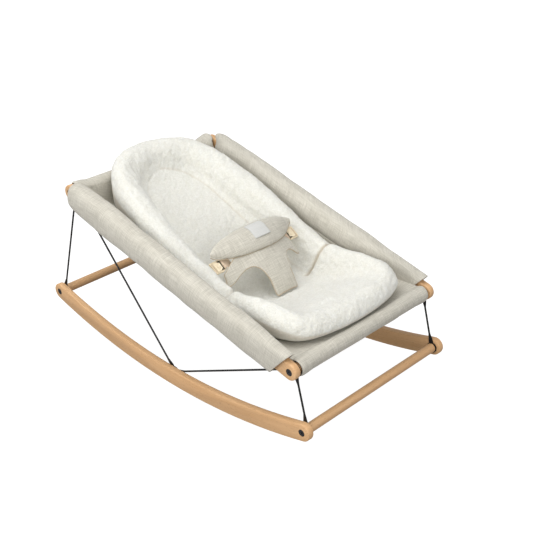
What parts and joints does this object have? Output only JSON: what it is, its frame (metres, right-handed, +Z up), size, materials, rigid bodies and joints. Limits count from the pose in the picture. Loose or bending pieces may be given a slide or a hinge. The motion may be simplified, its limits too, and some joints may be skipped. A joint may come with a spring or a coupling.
{
  "type": "baby bouncer seat",
  "caption": "Rocking baby seat: wooden rockers and rails joined by steel rods, padded linen cover, plush nest insert and T-shaped safety harness.",
  "frame": {"origin": "middle of the seat's footprint, on the floor", "axes": "+Z up, +Y towards the sitter's head end, +X towards the sitter's left"},
  "size_m": [0.468, 0.817, 0.4122],
  "materials": {
    "beech": "clear matt lacquer on solid beech",
    "black_steel": "satin black powder coat",
    "bolt_steel": "black oxide, satin",
    "linen": "plain woven linen, slubby, matt",
    "plush": "short curly pile, matt",
    "webbing": "flat woven tape",
    "buckle_plastic": "moulded, satin",
    "label": "smooth woven tape, left blank"
  },
  "bodies": {
    "seat_frame": {"rocker_right": "beech", "rocker_left": "beech", "side_rail_right": "beech", "side_rail_left": "beech", "base_dowel_foot": "beech", "base_dowel_head": "beech", "crossbar_foot": "beech", "crossbar_head": "beech", "rod_head_right": "black_steel", "rod_head_left": "black_steel", "rod_diagonal_right": "black_steel", "rod_diagonal_left": "black_steel", "rod_brace_right": "black_steel", "rod_brace_left": "black_steel", "rod_foot_right": "black_steel", "rod_foot_left": "black_steel", "bolt_base_head_right": "bolt_steel", "bolt_base_head_left": "bolt_steel", "bolt_base_foot_right": "bolt_steel", "bolt_base_foot_left": "bolt_steel", "bolt_rail_head_right": "bolt_steel", "bolt_rail_head_left": "bolt_steel", "bolt_rail_foot_right": "bolt_steel", "bolt_rail_foot_left": "bolt_steel", "screw_brace_right": "bolt_steel", "screw_brace_left": "bolt_steel", "side_sleeve_right": "linen", "side_sleeve_left": "linen", "foot_sleeve": "linen", "head_sleeve": "linen", "seat_sling": "linen", "insert": "plush", "buckle_frame_right": "buckle_plastic", "side_strap_right": "webbing", "buckle_frame_left": "buckle_plastic", "side_strap_left": "webbing"},
    "harness": {"crotch_panel": "linen", "waist_pad": "linen", "pad_label": "label", "buckle_tongue_right": "buckle_plastic", "buckle_tongue_left": "buckle_plastic", "belt_strap_right": "webbing", "belt_strap_left": "webbing"},
    "button_right": {"buckle_button_right": "buckle_plastic"},
    "button_left": {"buckle_button_left": "buckle_plastic"}
  },
  "joints": [
    {"name": "harness_fold", "type": "hinge", "parent": "seat_frame", "child": "harness", "pos_m": [0, -0.14493, 0.19881], "axis": [1, 0, 0], "range_deg": [0, 85]},
    {"name": "button_right_press", "type": "slide", "parent": "harness", "child": "button_right", "axis": [0, 0.5603, -0.8283], "range_m": [0, 0.0012], "stiffness_N_per_m": 400},
    {"name": "button_left_press", "type": "slide", "parent": "harness", "child": "button_left", "axis": [0, 0.5603, -0.8283], "range_m": [0, 0.0012], "stiffness_N_per_m": 400}
  ]
}
